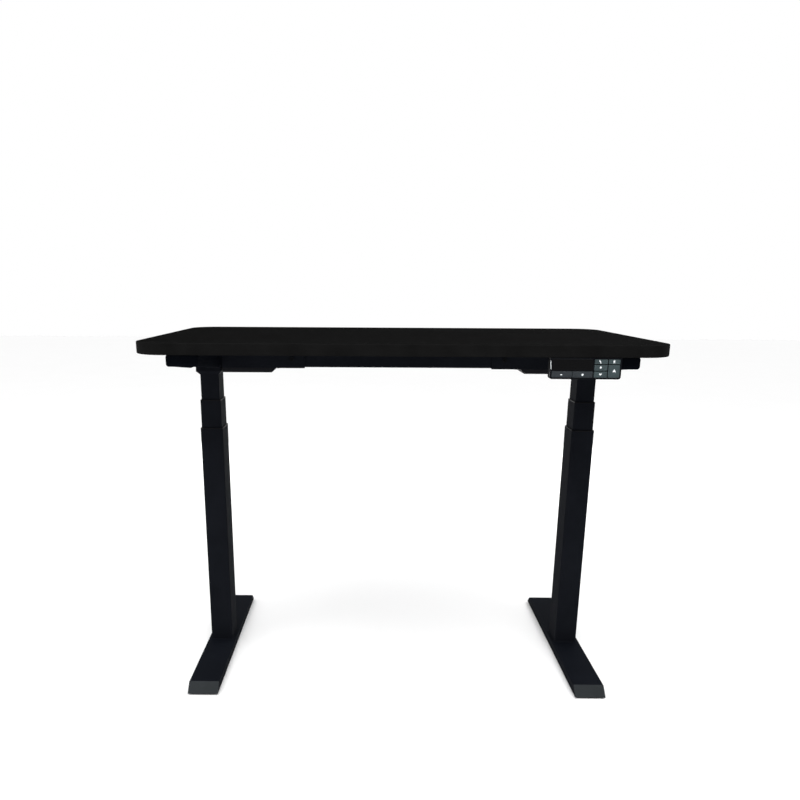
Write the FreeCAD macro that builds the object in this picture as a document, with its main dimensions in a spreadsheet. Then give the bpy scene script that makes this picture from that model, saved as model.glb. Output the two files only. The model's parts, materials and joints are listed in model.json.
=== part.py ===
import FreeCAD, Part
import os
import math
import Sketcher
from FreeCAD import Placement, Rotation, Vector

# Height adjustable standing desk: a tabletop on two three-stage lifting columns.
# +X right, +Y away from the person at the desk, +Z up; the origin is on the floor, under the
# middle of the tabletop. The columns stand at rest in a low working position.

doc = FreeCAD.newDocument("standing_desk")

# ---------------------------------------------------------------- driving dimensions (mm)
DRIVING = {
    "top_width": 1100, "top_depth": 600, "top_thick": 25, "top_height": 808,
    "corner_round": 65, "edge_round": 2.5,
    "column_x": 449, "tube_width": 54, "tube_depth": 71, "tube_wall": 1.5, "tube_round": 4,
    "glide_gap": 1, "glide_play": 0.15, "glide_long": 40, "glide_lip": 2,
    "outer_top": 585, "middle_top": 653, "middle_bottom": 98, "inner_bottom": 180,
    "foot_length": 540, "foot_width": 70, "foot_thick": 20, "foot_bevel": 22, "foot_sheet": 2.5,
    "pad_height": 4, "pad_round": 21, "pad_y": 232, "pad_stud": 4, "pad_stud_long": 14,
    "plate_thick": 8, "bolt_x": 15, "bolt_y": 24, "bolt_shank": 4, "bolt_head": 6.5, "bolt_head_high": 5,
    "bracket_length": 560, "bracket_width": 66, "bracket_tip": 25, "bracket_deep": 50,
    "bracket_deep_half": 80, "sheet": 2.5,
    "beam_half_depth": 40, "beam_low": 731, "beam_high": 775, "beam_seam_x": 220,
    "beam_centre_half": 288, "beam_play": 0.5,
    "head_bottom": 714, "head_width": 60, "head_depth": 76, "head_chamfer": 8,
    "motor_y": 17, "motor_z": 746, "motor_round": 18, "motor_length": 100,
    "cover_low": 720, "cover_high": 742, "cover_end_x": 291, "cover_wall": 1.5,
    "screw_round": 6.5, "screw_bottom": 160, "screw_top": 770, "hollow_round": 10,
    "post_round": 15, "nut_low": 350, "nut_high": 375, "carrier_round": 17.5,
    "shoulder_low": 440, "carrier_top": 488, "run_play": 0.06,
    "box_half": 118, "box_front": 48, "box_back": 148, "box_low": 741, "box_wall": 2,
    "set_low": 740, "set_left": 295, "set_right": 438, "set_front": -298, "set_back": -281.5,
    "set_round": 5, "set_wall": 2, "key_gap": 0.4, "key_proud": 0.8,
    "cable_round": 2.5,
}

dims = doc.addObject("Spreadsheet::Sheet", "dims")
for row, (alias, number) in enumerate(DRIVING.items(), start=1):
    dims.set(f"A{row}", alias)
    dims.set(f"B{row}", str(number))
    dims.setAlias(f"B{row}", alias)
doc.recompute()


class Size:
    """A length that carries both its formula in the sheet and its present value."""

    def __init__(self, formula, value):
        self.formula = formula
        self.value = float(value)

    def __add__(self, other):
        other = size(other)
        return Size(f"({self.formula} + {other.formula})", self.value + other.value)

    def __sub__(self, other):
        other = size(other)
        return Size(f"({self.formula} - {other.formula})", self.value - other.value)

    def __mul__(self, other):
        other = size(other)
        return Size(f"({self.formula} * {other.formula})", self.value * other.value)

    def __truediv__(self, other):
        other = size(other)
        return Size(f"({self.formula} / {other.formula})", self.value / other.value)

    def __neg__(self):
        return self * -1

    __radd__ = __add__
    __rmul__ = __mul__

    def __rsub__(self, other):
        return size(other) - self


def size(thing):
    """Turn a plain number into a Size and leave a Size as it is."""
    if isinstance(thing, Size):
        return thing
    return Size(str(thing), thing)


def dim(alias):
    return Size(f"dims.{alias}", DRIVING[alias])


# ---------------------------------------------------------------- shared sizes
column_x = dim("column_x")
top_under = dim("top_height") - dim("top_thick")
foot_low = dim("pad_height")
foot_top = foot_low + dim("foot_thick")
wall = dim("tube_wall")
stage_step = 2 * (wall + dim("glide_gap"))
OUTER = (dim("tube_width"), dim("tube_depth"))
MIDDLE = (OUTER[0] - stage_step, OUTER[1] - stage_step)
INNER = (MIDDLE[0] - stage_step, MIDDLE[1] - stage_step)
sheet = dim("sheet")
flange_low = top_under - sheet
beam_half = dim("beam_half_depth")
play = dim("run_play")
SIDES = {"left": -1, "right": 1}

subparts = []


# ---------------------------------------------------------------- building blocks
def bind(thing, **bindings):
    """Bind properties to formulas; a double underscore in a name stands for a dot."""
    for name, length in bindings.items():
        thing.setExpression(name.replace("__", "."), size(length).formula)


def move(thing, x=0, y=0, z=0):
    bind(thing, Placement__Base__x=x, Placement__Base__y=y, Placement__Base__z=z)
    return thing


def label(thing, node):
    """Name a finished sub-part; its label is the name of its node."""
    thing.Label = node
    subparts.append(thing)
    return thing


def pin(sketch, kind, item, length):
    index = sketch.addConstraint(Sketcher.Constraint(kind, -1, 1, item, 1, length.value))
    sketch.setExpression(f"Constraints[{index}]", length.formula)


def polygon(sketch, corners):
    corners = [(size(u), size(v)) for u, v in corners]
    count = len(corners)
    for index, (u, v) in enumerate(corners):
        next_u, next_v = corners[(index + 1) % count]
        start = Vector(u.value, v.value, 0)
        sketch.addGeometry(Part.LineSegment(start, Vector(next_u.value, next_v.value, 0)))
    for index in range(count):
        sketch.addConstraint(Sketcher.Constraint("Coincident", index, 2, (index + 1) % count, 1))
    for index, (u, v) in enumerate(corners):
        pin(sketch, "DistanceX", index, u)
        pin(sketch, "DistanceY", index, v)


def edges_at(shape, test):
    """The names of the edges whose middle point and direction pass the test."""
    names = []
    for number, edge in enumerate(shape.Edges, start=1):
        middle = edge.valueAt((edge.FirstParameter + edge.LastParameter) / 2)
        if test(middle, edge.tangentAt(edge.FirstParameter)):
            names.append(f"Edge{number}")
    return names


def prism(name, plane, corners, length, rounds=(), at=(0, 0, 0)):
    """A polygon drawn on a plane of its own body and padded along the plane's normal."""
    body = doc.addObject("PartDesign::Body", name)
    sketch = body.newObject("Sketcher::SketchObject", name + "_outline")
    support = next(part for part in body.Origin.OriginFeatures if part.Role == plane + "_Plane")
    sketch.AttachmentSupport = [(support, "")]
    sketch.MapMode = "FlatFace"
    polygon(sketch, corners)
    pad = body.newObject("PartDesign::Pad", name + "_pad")
    pad.Profile = sketch
    bind(pad, Length=length)
    doc.recompute()
    last = pad
    for number, (kind, reach, test) in enumerate(rounds, start=1):
        edge = body.newObject(f"PartDesign::{kind}", f"{name}_{kind.lower()}{number}")
        edge.Base = (last, edges_at(last.Shape, test))
        bind(edge, **{"Radius" if kind == "Fillet" else "Size": reach})
        doc.recompute()
        last = edge
    return move(body, *at)


def rectangle(half_u, half_v):
    return [(-half_u, -half_v), (half_u, -half_v), (half_u, half_v), (-half_u, half_v)]


def upright(middle, along):
    return abs(along.z) > 0.99


def block(name, low, high):
    box = doc.addObject("Part::Box", name)
    spans = [size(top) - bottom for bottom, top in zip(low, high)]
    bind(box, Length=spans[0], Width=spans[1], Height=spans[2])
    return move(box, *low)


TURNS = {"z": Rotation(), "x": Rotation(Vector(0, 1, 0), 90), "y": Rotation(Vector(1, 0, 0), -90)}


def rod(name, radius, length, at, along="z", lower_radius=None):
    """A cylinder, or a cone when its first end has a radius of its own."""
    if lower_radius is None:
        shaft = doc.addObject("Part::Cylinder", name)
        bind(shaft, Radius=radius, Height=length)
    else:
        shaft = doc.addObject("Part::Cone", name)
        bind(shaft, Radius1=lower_radius, Radius2=radius, Height=length)
    shaft.Placement = Placement(Vector(), TURNS[along])
    return move(shaft, *at)


def cut(name, base, *tools):
    """Take the tools away from the base."""
    result = doc.addObject("Part::Cut", name)
    result.Base = base
    result.Tool = tools[0] if len(tools) == 1 else gather(name + "_tools", *tools)
    return result


def join(name, *pieces):
    result = doc.addObject("Part::MultiFuse", name)
    result.Shapes = list(pieces)
    result.Refine = True
    return result


def gather(name, *pieces):
    """Separate solids kept as one group."""
    result = doc.addObject("Part::Compound", name)
    result.Links = list(pieces)
    return result


def tube(name, section, low, high, x, thickness=wall, radius=dim("tube_round")):
    """A rectangular tube with rounded corners, standing at x."""
    outline = rectangle(section[0] * 0.5, section[1] * 0.5)
    outside = prism(name + "_outside", "XY", outline, size(high) - low,
                    [("Fillet", radius, upright)], (x, 0, low))
    hollow = rectangle(section[0] * 0.5 - thickness, section[1] * 0.5 - thickness)
    inside = prism(name + "_inside", "XY", hollow, size(high) - low + 2,
                   [("Fillet", radius - thickness, upright)], (x, 0, size(low) - 1))
    return cut(name, outside, inside)


def ring(name, inner, outer, low, high, x):
    length = size(high) - low
    outside = rod(name + "_outside", outer, length, (x, 0, low))
    bore = rod(name + "_bore", inner, length + 2, (x, 0, size(low) - 1))
    return cut(name, outside, bore)


def cable(node, points, radius):
    """A round cable along straight runs joined by arcs as large as the runs allow."""
    points = [Vector(*point) for point in points]
    edges = []
    start = points[0]
    for before, corner, after in zip(points, points[1:], points[2:]):
        inward = (corner - before).normalize()
        outward = (after - corner).normalize()
        turn = inward.getAngle(outward)
        reach = 0.45 * min(corner.distanceToPoint(before), corner.distanceToPoint(after))
        print(f"{node}: bend radius {reach / math.tan(turn / 2):.1f} mm")
        first = corner - inward * reach
        last = corner + outward * reach
        centre = corner + (outward - inward).normalize() * (reach / math.sin(turn / 2))
        arc_radius = reach / math.tan(turn / 2)
        middle = centre - (outward - inward).normalize() * arc_radius
        edges.append(Part.LineSegment(start, first).toShape())
        edges.append(Part.Arc(first, middle, last).toShape())
        start = last
    edges.append(Part.LineSegment(start, points[-1]).toShape())
    path = Part.Wire(edges)
    first_run = (points[1] - points[0]).normalize()
    section = Part.Wire(Part.makeCircle(radius, points[0], first_run))
    solid = path.makePipeShell([section], True, False)
    expected = math.pi * radius ** 2 * path.Length
    print(f"{node}: length {path.Length:.0f} mm, volume ratio {solid.Volume / expected:.4f}")
    feature = doc.addObject("Part::Feature", node)
    feature.Shape = solid
    return label(feature, node)


# ---------------------------------------------------------------- the base on the floor
def foot(side, x):
    """A folded steel foot, open below, with bevelled ends and two bosses for its levelling pads."""
    name = side + "_foot"
    half = dim("foot_length") * 0.5
    skin = dim("foot_sheet")
    profile = [(-half, 0), (half, 0), (half - dim("foot_bevel"), dim("foot_thick")),
               (dim("foot_bevel") - half, dim("foot_thick"))]
    end_wall = 1.5 * skin
    roof = dim("foot_thick") - skin
    slope_in = dim("foot_bevel") * roof / dim("foot_thick")
    hollow = [(end_wall - half, -1), (half - end_wall, -1), (half - end_wall, 0),
              (half - slope_in - end_wall, roof), (slope_in + end_wall - half, roof),
              (end_wall - half, 0)]
    width = dim("foot_width")
    soft = [("Fillet", 1.2, lambda middle, along: middle.z > dim("foot_thick").value - 0.01)]
    outside = prism(name + "_skin", "YZ", profile, width, soft, (x - width * 0.5, 0, foot_low))
    inside = prism(name + "_hollow", "YZ", hollow, width - 2 * skin, (),
                   (x - width * 0.5 + skin, 0, foot_low))
    shell = cut(name + "_shell", outside, inside)
    bosses = []
    bores = []
    for end, y in (("front", -dim("pad_y")), ("rear", dim("pad_y"))):
        bosses.append(rod(f"{name}_{end}_boss", 9, roof - 0.5, (x, y, foot_low + 1)))
        bores.append(rod(f"{name}_{end}_bore", dim("pad_stud") + play, dim("pad_stud_long"),
                         (x, y, foot_low)))
    for number, (dx, dy) in enumerate(rectangle(dim("bolt_x"), dim("bolt_y")), start=1):
        bores.append(rod(f"{name}_bolt_hole{number}", dim("bolt_shank") + 0.3, dim("foot_thick"),
                         (x + dx, dy, foot_low + 1)))
    solid = join(name + "_solid", shell, *bosses)
    label(cut(name, solid, *bores), name)


def levelling_pad(side, end, x, y):
    """A disc with a chamfered rim on a threaded stud."""
    name = f"{side}_{end}_pad"
    rim = rod(name + "_rim", dim("pad_round") - 1, 1, (x, y, 0), lower_radius=dim("pad_round") - 1.6)
    disc = rod(name + "_disc", dim("pad_round"), dim("pad_height") - 1, (x, y, 1))
    stud = rod(name + "_stud", dim("pad_stud"), dim("pad_stud_long") - 2, (x, y, dim("pad_height") - 1))
    label(join(name, rim, disc, stud), name)


def base_plate(side, x):
    """The plate welded into the foot of the outer tube, tapped for the four foot bolts."""
    name = side + "_base_plate"
    outline = rectangle(OUTER[0] * 0.5 - wall, OUTER[1] * 0.5 - wall)
    plate = prism(name + "_block", "XY", outline, dim("plate_thick"),
                  [("Fillet", dim("tube_round") - wall, upright)], (x, 0, foot_top))
    holes = []
    for number, (dx, dy) in enumerate(rectangle(dim("bolt_x"), dim("bolt_y")), start=1):
        holes.append(rod(f"{name}_hole{number}", dim("bolt_shank"), 30, (x + dx, dy, foot_top - 5)))
    return cut(name, plate, *holes)


def foot_bolts(side, x):
    """Four button-headed bolts that come up through the foot into the base plate."""
    bolts = []
    under = foot_top - dim("foot_sheet")
    for number, (dx, dy) in enumerate(rectangle(dim("bolt_x"), dim("bolt_y")), start=1):
        name = f"{side}_foot_bolt{number}"
        head = rod(name + "_head", dim("bolt_head"), dim("bolt_head_high"),
                   (x + dx, dy, under - dim("bolt_head_high")))
        socket = rod(name + "_socket", 2.5, 3, (x + dx, dy, under - dim("bolt_head_high")))
        shank = rod(name + "_shank", dim("bolt_shank"), 12, (x + dx, dy, under - 2))
        bolts.append(cut(name, join(name + "_body", head, shank), socket))
    return bolts


def glide(name, outer_section, inner_section, top, x):
    """A plastic sleeve in the mouth of a tube, with a lip that covers the tube's rim."""
    lip = dim("glide_lip")
    rounding = dim("tube_round")
    bore_play = dim("glide_play")
    sleeve = prism(name + "_sleeve", "XY",
                   rectangle(outer_section[0] * 0.5 - wall, outer_section[1] * 0.5 - wall),
                   dim("glide_long"), [("Fillet", rounding - wall, upright)],
                   (x, 0, top - dim("glide_long")))
    collar = prism(name + "_collar", "XY", rectangle(outer_section[0] * 0.5, outer_section[1] * 0.5),
                   lip, [("Fillet", rounding, upright)], (x, 0, top - lip))
    bore = prism(name + "_bore", "XY",
                 rectangle(inner_section[0] * 0.5 + bore_play, inner_section[1] * 0.5 + bore_play),
                 dim("glide_long") + 2, [("Fillet", rounding - 0.5, upright)],
                 (x, 0, top - dim("glide_long") - 1))
    return cut(name, join(name + "_solid", sleeve, collar), bore)


def screw_post(side, x):
    """The fixed post inside the column and the long nut that it carries."""
    name = side + "_screw_post"
    flange = rod(name + "_flange", 20, 4, (x, 0, foot_top + dim("plate_thick")))
    stem_low = foot_top + dim("plate_thick")
    stem = rod(name + "_stem", dim("post_round"), dim("nut_low") - stem_low, (x, 0, stem_low))
    nut = rod(name + "_nut", dim("post_round") - 0.2, dim("nut_high") - dim("nut_low"),
              (x, 0, dim("nut_low")))
    wide_bore = rod(name + "_wide_bore", 12, dim("nut_low") - stem_low, (x, 0, stem_low))
    thread = rod(name + "_thread", dim("hollow_round") + play, 40, (x, 0, dim("nut_low") - 5))
    return cut(name, join(name + "_solid", flange, stem, nut), wide_bore, thread)


def build_base():
    plates = []
    bolts = []
    glides = []
    posts = []
    for side, sign in SIDES.items():
        x = sign * column_x
        foot(side, x)
        levelling_pad(side, "front", x, -dim("pad_y"))
        levelling_pad(side, "rear", x, dim("pad_y"))
        tube_node = side + "_outer_tube"
        label(tube(tube_node, OUTER, foot_top, dim("outer_top") - dim("glide_lip"), x), tube_node)
        plates.append(base_plate(side, x))
        bolts.extend(foot_bolts(side, x))
        glides.append(glide(side + "_outer_glide", OUTER, MIDDLE, dim("outer_top"), x))
        posts.append(screw_post(side, x))
    for node, pieces in (("column_base_plates", plates), ("foot_bolts", bolts),
                         ("outer_glides", glides), ("screw_posts", posts)):
        label(gather(node, *pieces), node)


# ---------------------------------------------------------------- the middle stage
def middle_carrier(side, x):
    """The plate in the middle tube, its hollow post and the upper screw's nut on top of it."""
    name = side + "_middle_carrier"
    low = dim("middle_bottom")
    plate_high = 6
    plate = prism(name + "_plate", "XY",
                  rectangle(MIDDLE[0] * 0.5 - wall, MIDDLE[1] * 0.5 - wall), plate_high,
                  [("Fillet", dim("tube_round") - wall, upright)], (x, 0, low))
    stem = rod(name + "_stem", dim("carrier_round"), dim("carrier_top") - low, (x, 0, low))
    shoulder = dim("shoulder_low")
    stem_bore = rod(name + "_stem_bore", dim("post_round") + 0.8, shoulder - low, (x, 0, low))
    neck = rod(name + "_neck", dim("hollow_round") + play, dim("carrier_top") - shoulder,
               (x, 0, shoulder - 2))
    pocket = rod(name + "_pocket", 14.5, 7, (x, 0, shoulder + 7.5))
    nut_low = shoulder + 14.5
    body = cut(name + "_turned", join(name + "_solid", plate, stem), stem_bore, neck, pocket)
    nut = ring(name + "_nut", dim("screw_round") + play, dim("carrier_round"), nut_low,
               dim("carrier_top"), x)
    trimmed = cut(name + "_trimmed", body,
                  rod(name + "_nut_space", 30, 60, (x, 0, nut_low)))
    label(join(name, trimmed, nut), name)


def hollow_screw(side, x):
    """The screw that turns in the middle stage; the upper screw slides and drives inside it."""
    name = side + "_hollow_screw"
    low = dim("middle_bottom") + 2
    collar_low = dim("shoulder_low") + 8
    stem = rod(name + "_stem", dim("hollow_round"), collar_low - low + 6, (x, 0, low))
    collar = rod(name + "_collar", 14, 6, (x, 0, collar_low))
    bore = rod(name + "_bore", dim("screw_round") + play, 400, (x, 0, low - 1))
    label(cut(name, join(name + "_solid", stem, collar), bore), name)


def build_middle_stages():
    for side, sign in SIDES.items():
        x = sign * column_x
        tube_node = side + "_middle_tube"
        tube_top = dim("middle_top") - dim("glide_lip")
        label(tube(tube_node, MIDDLE, dim("middle_bottom"), tube_top, x), tube_node)
        glide_node = side + "_middle_glide"
        label(glide(glide_node, MIDDLE, INNER, dim("middle_top"), x), glide_node)
        middle_carrier(side, x)
        hollow_screw(side, x)


# ---------------------------------------------------------------- the drive under the top
def gearbox(side, sign, x):
    """The cast head on the inner tube, bored for the screw, its bearings and the worm."""
    name = side + "_gearbox"
    low = dim("head_bottom")
    half = (dim("head_width") * 0.5, dim("head_depth") * 0.5)

    def low_edge(middle, along):
        return middle.z < 0.01 and abs(along.z) < 0.01

    body = prism(name + "_block", "XY", rectangle(*half), flange_low - low,
                 [("Chamfer", dim("head_chamfer"), low_edge), ("Fillet", 3, upright)], (x, 0, low))
    neck = rod(name + "_neck", 7.5, 10, (x, 0, low - 1))
    bore = rod(name + "_bore", 16, dim("screw_top") - low - 6, (x, 0, low + 8))
    worm_bore = rod(name + "_worm_bore", 8, half[0] + 20,
                    (x - 20 if sign < 0 else x - half[0], dim("motor_y"), dim("motor_z")), "x")
    label(cut(name, body, neck, bore, worm_bore), name)


def bearings(side, x):
    """Two bearing rings that carry the upper screw in the gearbox."""
    rings = []
    for place, low in (("lower", dim("head_bottom") + 8), ("upper", dim("screw_top") - 10)):
        rings.append(ring(f"{side}_{place}_bearing", dim("screw_round") + play, 16, low, low + 8, x))
    return rings


def upper_screw(side, x):
    """The solid screw, turned by the worm wheel pressed on it."""
    name = side + "_upper_screw"
    stem = rod(name + "_stem", dim("screw_round"), dim("screw_top") - dim("screw_bottom"),
               (x, 0, dim("screw_bottom")))
    tip = rod(name + "_tip", dim("screw_round"), 3, (x, 0, dim("screw_bottom") - 3),
              lower_radius=dim("screw_round") - 1.5)
    label(join(name, stem, tip), name)
    wheel = side + "_worm_wheel"
    label(ring(wheel, dim("screw_round"), 12.4, dim("motor_z") - 6, dim("motor_z") + 6, x), wheel)


def worm_shaft(side, sign, x):
    """The motor's rotor with its shaft and the worm on the end of it."""
    name = side + "_worm_shaft"
    y = dim("motor_y")
    z = dim("motor_z")
    inner_face = dim("head_width") * 0.5

    def section(piece, radius, near, far):
        """A round section between two distances from the column, towards the middle of the desk."""
        start = x + near if sign < 0 else x - far
        return rod(f"{name}_{piece}", radius, size(far) - near, (start, y, z), "x")

    pieces = [section("worm", 4.5, -16, inner_face - 8),
              section("journal", 3, inner_face - 9, inner_face + 12),
              section("rotor", 12, inner_face + 11, inner_face + dim("motor_length") - 12)]
    label(join(name, *pieces), name)


def motor_case(side, sign, x):
    """The motor's drawn can, closed at both ends and bored for the shaft."""
    name = side + "_motor_case"
    inner_face = dim("head_width") * 0.5
    length = dim("motor_length")
    y = dim("motor_y")
    z = dim("motor_z")
    outer_x = x + inner_face if sign < 0 else x - inner_face - length
    can = rod(name + "_can", dim("motor_round"), length, (outer_x, y, z), "x")
    hollow = rod(name + "_hollow", dim("motor_round") - 2, length - 6, (outer_x + 3, y, z), "x")
    bore_x = outer_x - 1 if sign < 0 else outer_x + length - 5
    bore = rod(name + "_bore", 3 + play, 6, (bore_x, y, z), "x")
    label(cut(name, can, hollow, bore), name)


def motor_cover(side, sign):
    """The moulded trough that closes the beam under the motor."""
    name = side + "_motor_cover"
    skin = dim("cover_wall")
    half = beam_half - sheet - dim("beam_play")
    near = dim("cover_end_x")
    far = column_x - dim("bracket_width") * 0.5 - 1
    low = dim("cover_low")
    inner_end = far - near if sign < 0 else size(0)

    def lower_end(middle, along):
        return middle.z < 0.01 and abs(along.y) > 0.99 and abs(middle.x - inner_end.value) < 0.01

    def long_rim(middle, along):
        return middle.z < 0.01 and abs(along.x) > 0.99

    start = -far if sign < 0 else near
    outline = [(0, -half), (far - near, -half), (far - near, half), (0, half)]
    outside = prism(name + "_outside", "XY", outline, dim("cover_high") - low,
                    [("Chamfer", 8, lower_end), ("Fillet", 3, long_rim)], (start, 0, low))
    inside_low, inside_high = (-far - 1, -near - skin) if sign < 0 else (near + skin, far + 1)
    inside = block(name + "_inside", (inside_low, -half + skin, low + skin + 6),
                   (inside_high, half - skin, dim("cover_high") + 1))
    floor_space = block(name + "_floor", (start + 10, -half + 5, low + skin),
                        (start + far - near - 10, half - 5, low + skin + 7))
    exit_x = near + 2
    gland = rod(name + "_gland", dim("cable_round"), 20,
                (-exit_x - 10 if sign < 0 else exit_x - 10, 10, low + 9), "x")
    label(cut(name, outside, inside, floor_space, gland), name)


def build_drives():
    rings = []
    for side, sign in SIDES.items():
        x = sign * column_x
        tube_node = side + "_inner_tube"
        label(tube(tube_node, INNER, dim("inner_bottom"), dim("head_bottom"), x,
                   radius=dim("tube_round") - 0.5), tube_node)
        gearbox(side, sign, x)
        rings.extend(bearings(side, x))
        upper_screw(side, x)
        worm_shaft(side, sign, x)
        motor_case(side, sign, x)
        motor_cover(side, sign)
    label(gather("gearbox_bearings", *rings), "gearbox_bearings")


# ---------------------------------------------------------------- the frame under the top
WOOD_SCREW_Y = (-250, -150, 150, 250)
SIDE_BOLT_Y = (-26, 26)
SIDE_BOLT_UP = 4
LID_SCREW_Y = (20, 80)
LID_EAR = 16
SET_HOLE_X = (-40, 40)
SET_EAR = 14
SCREW_HOLE = 2.6
SEAM_BOLT_IN = 30
SEAM_BOLT_UP = 21


def side_bracket(side, sign, x):
    """A folded channel across the desk, shallow at its closed ends and deep at the column."""
    name = side + "_bracket"
    half = dim("bracket_length") * 0.5
    deep_half = dim("bracket_deep_half")
    width = dim("bracket_width")
    tip = dim("bracket_tip")
    deep = dim("bracket_deep")

    def outline(inset, lift):
        return [(inset - half, -lift), (inset - half, -tip), (-deep_half, -deep), (deep_half, -deep),
                (half - inset, -tip), (half - inset, -lift)]

    def front_rim(middle, along):
        return abs(middle.y) > half.value - 0.01 and abs(along.z) > 0.99

    def lower_rim(middle, along):
        return middle.z < top_under.value - tip.value * 0.5 and abs(along.y) > 0.9

    outside = prism(name + "_outside", "YZ", outline(size(0), size(0)), width,
                    [("Fillet", 6, lower_rim), ("Fillet", 4, front_rim)],
                    (x - width * 0.5, 0, top_under))
    inside = prism(name + "_inside", "YZ",
                   [(sheet - half, -sheet), (sheet - half, -deep - 1), (half - sheet, -deep - 1),
                    (half - sheet, -sheet)],
                   width - 2 * sheet, (), (x - width * 0.5 + sheet, 0, top_under))
    web_x = x + width * 0.5 - sheet - 1 if sign < 0 else x - width * 0.5 - 1
    motor_space = block(name + "_motor_space", (web_x, -4, dim("motor_z") - 40),
                        (web_x + sheet + 2, 38, dim("motor_z") + 21))
    holes = [rod(f"{name}_screw_hole{number}", SCREW_HOLE, 10, (x, y, flange_low - 5))
             for number, y in enumerate(WOOD_SCREW_Y, start=1)]
    outer_web_x = x - width * 0.5 - 1 if sign < 0 else x + width * 0.5 - sheet - 1
    holes += [rod(f"{name}_bolt_hole{number}", 3, sheet + 2,
                  (outer_web_x, y, dim("motor_z") + SIDE_BOLT_UP), "x")
              for number, y in enumerate(SIDE_BOLT_Y, start=1)]
    label(cut(name, outside, inside, motor_space, *holes), name)


def beam_end(side, sign):
    """An inverted channel from a side bracket towards the middle, open below for the motor."""
    name = side + "_beam_channel"
    low = dim("beam_low")
    high = dim("beam_high")
    inner = beam_half - sheet
    profile = [(-beam_half, low), (-inner, low), (-inner, high - sheet), (inner, high - sheet),
               (inner, low), (beam_half, low), (beam_half, high), (-beam_half, high)]
    far = column_x - dim("bracket_width") * 0.5
    near = dim("beam_seam_x")

    def upper_rim(middle, along):
        return middle.z > high.value - 0.01 and abs(along.x) > 0.99

    body = prism(name + "_channel", "YZ", profile, far - near, [("Fillet", 2.5, upper_rim)],
                 (-far if sign < 0 else near, 0, 0))
    holes = [rod(f"{name}_hole{number}", 3, 8, (sign * (near + SEAM_BOLT_IN), y, low + SEAM_BOLT_UP), "y")
             for number, y in enumerate((-beam_half - 2, beam_half - 6), start=1)]
    label(cut(name, body, *holes), name)


def beam_centre():
    """The closed tube that telescopes into both channels."""
    half_long = dim("beam_centre_half")
    gap = dim("beam_play")
    half_y = beam_half - sheet - gap
    low = dim("beam_low") + 2
    high = dim("beam_high") - sheet - gap
    outline = [(-half_y, low), (half_y, low), (half_y, high), (-half_y, high)]
    skin = 2

    def long_edge(middle, along):
        return abs(along.x) > 0.99

    outside = prism("beam_centre_outside", "YZ", outline, 2 * half_long,
                    [("Fillet", 3, long_edge)], (-half_long, 0, 0))
    hollow = [(skin - half_y, low + skin), (half_y - skin, low + skin), (half_y - skin, high - skin),
              (skin - half_y, high - skin)]
    inside = prism("beam_centre_inside", "YZ", hollow, 2 * half_long + 2, [("Fillet", 1, long_edge)],
                   (-half_long - 1, 0, 0))
    label(cut("beam_centre", outside, inside), "beam_centre")


def machine_bolt(name, at, along, sign):
    """A short button-headed bolt with a hexagon socket; sign says which way its head points."""
    x, y, z = at
    head_long = 3.2
    shank_long = 3
    if along == "x":
        head_at = (x if sign > 0 else x - head_long, y, z)
        shank_at = (x - shank_long if sign > 0 else x, y, z)
        socket_at = (x + head_long - 2 if sign > 0 else x - head_long, y, z)
    else:
        head_at = (x, y if sign > 0 else y - head_long, z)
        shank_at = (x, y - shank_long if sign > 0 else y, z)
        socket_at = (x, y + head_long - 2 if sign > 0 else y - head_long, z)
    head = rod(name + "_head", 5.2, head_long, head_at, along)
    shank = rod(name + "_shank", 2.95, shank_long, shank_at, along)
    socket = rod(name + "_socket", 2, 2, socket_at, along)
    return cut(name, join(name + "_solid", head, shank), socket)


def frame_bolts():
    bolts = []
    for side, sign in SIDES.items():
        outer_face = sign * (column_x + dim("bracket_width") * 0.5)
        for number, y in enumerate(SIDE_BOLT_Y, start=1):
            bolts.append(machine_bolt(f"{side}_side_bolt{number}",
                                      (outer_face, y, dim("motor_z") + SIDE_BOLT_UP), "x", sign))
        seam = sign * (dim("beam_seam_x") + SEAM_BOLT_IN)
        for number, facing in enumerate((-1, 1), start=1):
            bolts.append(machine_bolt(f"{side}_beam_bolt{number}",
                                      (seam, facing * beam_half, dim("beam_low") + SEAM_BOLT_UP),
                                      "y", facing))
    label(gather("frame_bolts", *bolts), "frame_bolts")


def screw_places():
    """Where the screws into the tabletop stand."""
    places = []
    for sign in SIDES.values():
        places += [(sign * column_x, y) for y in WOOD_SCREW_Y]
        places += [(sign * (dim("box_half") + LID_EAR * 0.5), dim("box_front") + dy) for dy in LID_SCREW_Y]
    middle = (dim("set_left") + dim("set_right")) * 0.5
    places += [(middle + dx, dim("set_back") + SET_EAR * 0.5) for dx in SET_HOLE_X]
    return places


def tabletop():
    """The laminated board, with plan corners of large radius and pilot holes in its underside."""
    half = (dim("top_width") * 0.5, dim("top_depth") * 0.5)

    def rim(middle, along):
        return abs(along.z) < 0.01

    board = prism("tabletop_board", "XY", rectangle(*half), dim("top_thick"),
                  [("Fillet", dim("corner_round"), upright), ("Fillet", dim("edge_round"), rim)],
                  (0, 0, top_under))
    pilots = [rod(f"tabletop_pilot{number}", 2, 16, (x, y, top_under - 1))
              for number, (x, y) in enumerate(screw_places(), start=1)]
    label(cut("tabletop", board, *pilots), "tabletop")


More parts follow.
